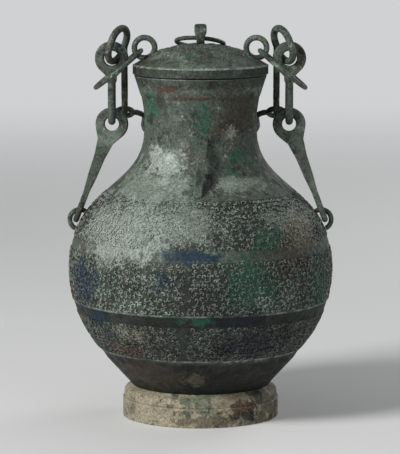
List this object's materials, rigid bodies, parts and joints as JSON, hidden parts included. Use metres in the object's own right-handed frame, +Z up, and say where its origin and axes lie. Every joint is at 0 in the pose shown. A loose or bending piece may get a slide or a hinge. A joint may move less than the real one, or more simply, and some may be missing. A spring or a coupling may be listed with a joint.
{
  "type": "lidded bronze hu wine vessel with chains and bow handle",
  "caption": "Lidded pear-shaped bronze wine vessel with cast scroll bands, loose lid rings, side chains and a bow handle.",
  "frame": {"origin": "centre of the foot's resting plane, under the middle of the vessel", "axes": "+Z up, +X to the right as seen from the front, -Y towards the front"},
  "size_m": [0.2584, 0.257, 0.3806],
  "materials": {
    "patinated_bronze": "matt grey-green malachite patina with blue, red-brown and pale tan patches",
    "pale_bronze": "matt cream and pale green patina",
    "dark_bronze": "matt dark green patina"
  },
  "bodies": {
    "vessel": {"vessel_body": "patinated_bronze", "foot_ring": "pale_bronze", "shoulder_loop_left": "patinated_bronze", "shoulder_loop_right": "patinated_bronze", "strap_loop_front": "patinated_bronze", "strap_loop_back": "patinated_bronze"},
    "lid": {"lid_cover": "patinated_bronze", "lid_knob": "patinated_bronze", "lid_loop_left": "patinated_bronze", "lid_loop_right": "patinated_bronze"},
    "knob_ring": {"knob_ring": "dark_bronze"},
    "lid_ring_left": {"lid_ring_left": "dark_bronze"},
    "lid_ring_right": {"lid_ring_right": "dark_bronze"},
    "lower_link_left": {"lower_link_left": "patinated_bronze"},
    "lower_link_right": {"lower_link_right": "patinated_bronze"},
    "upper_link_left": {"upper_link_left": "patinated_bronze"},
    "upper_link_right": {"upper_link_right": "patinated_bronze"},
    "top_link_left": {"top_link_left": "patinated_bronze"},
    "top_link_right": {"top_link_right": "patinated_bronze"},
    "bow_handle": {"bow_handle": "dark_bronze"}
  },
  "joints": [
    {"name": "lid_lift", "type": "slide", "parent": "vessel", "child": "lid", "axis": [0, 0, 1], "range_m": [0, 0.012]},
    {"name": "knob_ring_swing", "type": "hinge", "parent": "lid", "child": "knob_ring", "pos_m": [0, 0, 0.36682], "axis": [0.9976, 0, -0.0698], "range_deg": [0, 150]},
    {"name": "lid_ring_left_swing", "type": "hinge", "parent": "lid", "child": "lid_ring_left", "pos_m": [-0.05714, 0, 0.35479], "axis": [0, 1, 0], "range_deg": [0, 45]},
    {"name": "lower_link_left_swing", "type": "hinge", "parent": "vessel", "child": "lower_link_left", "pos_m": [-0.117, 0, 0.2007], "axis": [1, 0, 0], "range_deg": [0, 1.5]},
    {"name": "upper_link_left_swing", "type": "hinge", "parent": "lower_link_left", "child": "upper_link_left", "pos_m": [-0.0855, 0, 0.2953], "axis": [1, 0, 0], "range_deg": [0, 3]},
    {"name": "top_link_left_swing", "type": "hinge", "parent": "upper_link_left", "child": "top_link_left", "pos_m": [-0.0855, 0, 0.3568], "axis": [1, 0, 0], "range_deg": [0, 8]},
    {"name": "lid_ring_right_swing", "type": "hinge", "parent": "lid", "child": "lid_ring_right", "pos_m": [0.05714, 0, 0.35479], "axis": [0, -1, 0], "range_deg": [0, 45]},
    {"name": "lower_link_right_swing", "type": "hinge", "parent": "vessel", "child": "lower_link_right", "pos_m": [0.117, 0, 0.2007], "axis": [1, 0, 0], "range_deg": [0, 1.5]},
    {"name": "upper_link_right_swing", "type": "hinge", "parent": "lower_link_right", "child": "upper_link_right", "pos_m": [0.0855, 0, 0.2953], "axis": [1, 0, 0], "range_deg": [0, 3]},
    {"name": "top_link_right_swing", "type": "hinge", "parent": "upper_link_right", "child": "top_link_right", "pos_m": [0.0855, 0, 0.3568], "axis": [1, 0, 0], "range_deg": [0, 8]},
    {"name": "bow_swing", "type": "hinge", "parent": "top_link_left", "child": "bow_handle", "pos_m": [-0.0737, 0.02, 0.297], "axis": [1, 0, 0], "range_deg": [0, 60]}
  ],
  "couplings": [
    {"joint": "lower_link_right_swing", "follows": "lower_link_left_swing", "ratio": 1},
    {"joint": "upper_link_right_swing", "follows": "upper_link_left_swing", "ratio": 1},
    {"joint": "top_link_right_swing", "follows": "top_link_left_swing", "ratio": 1}
  ]
}
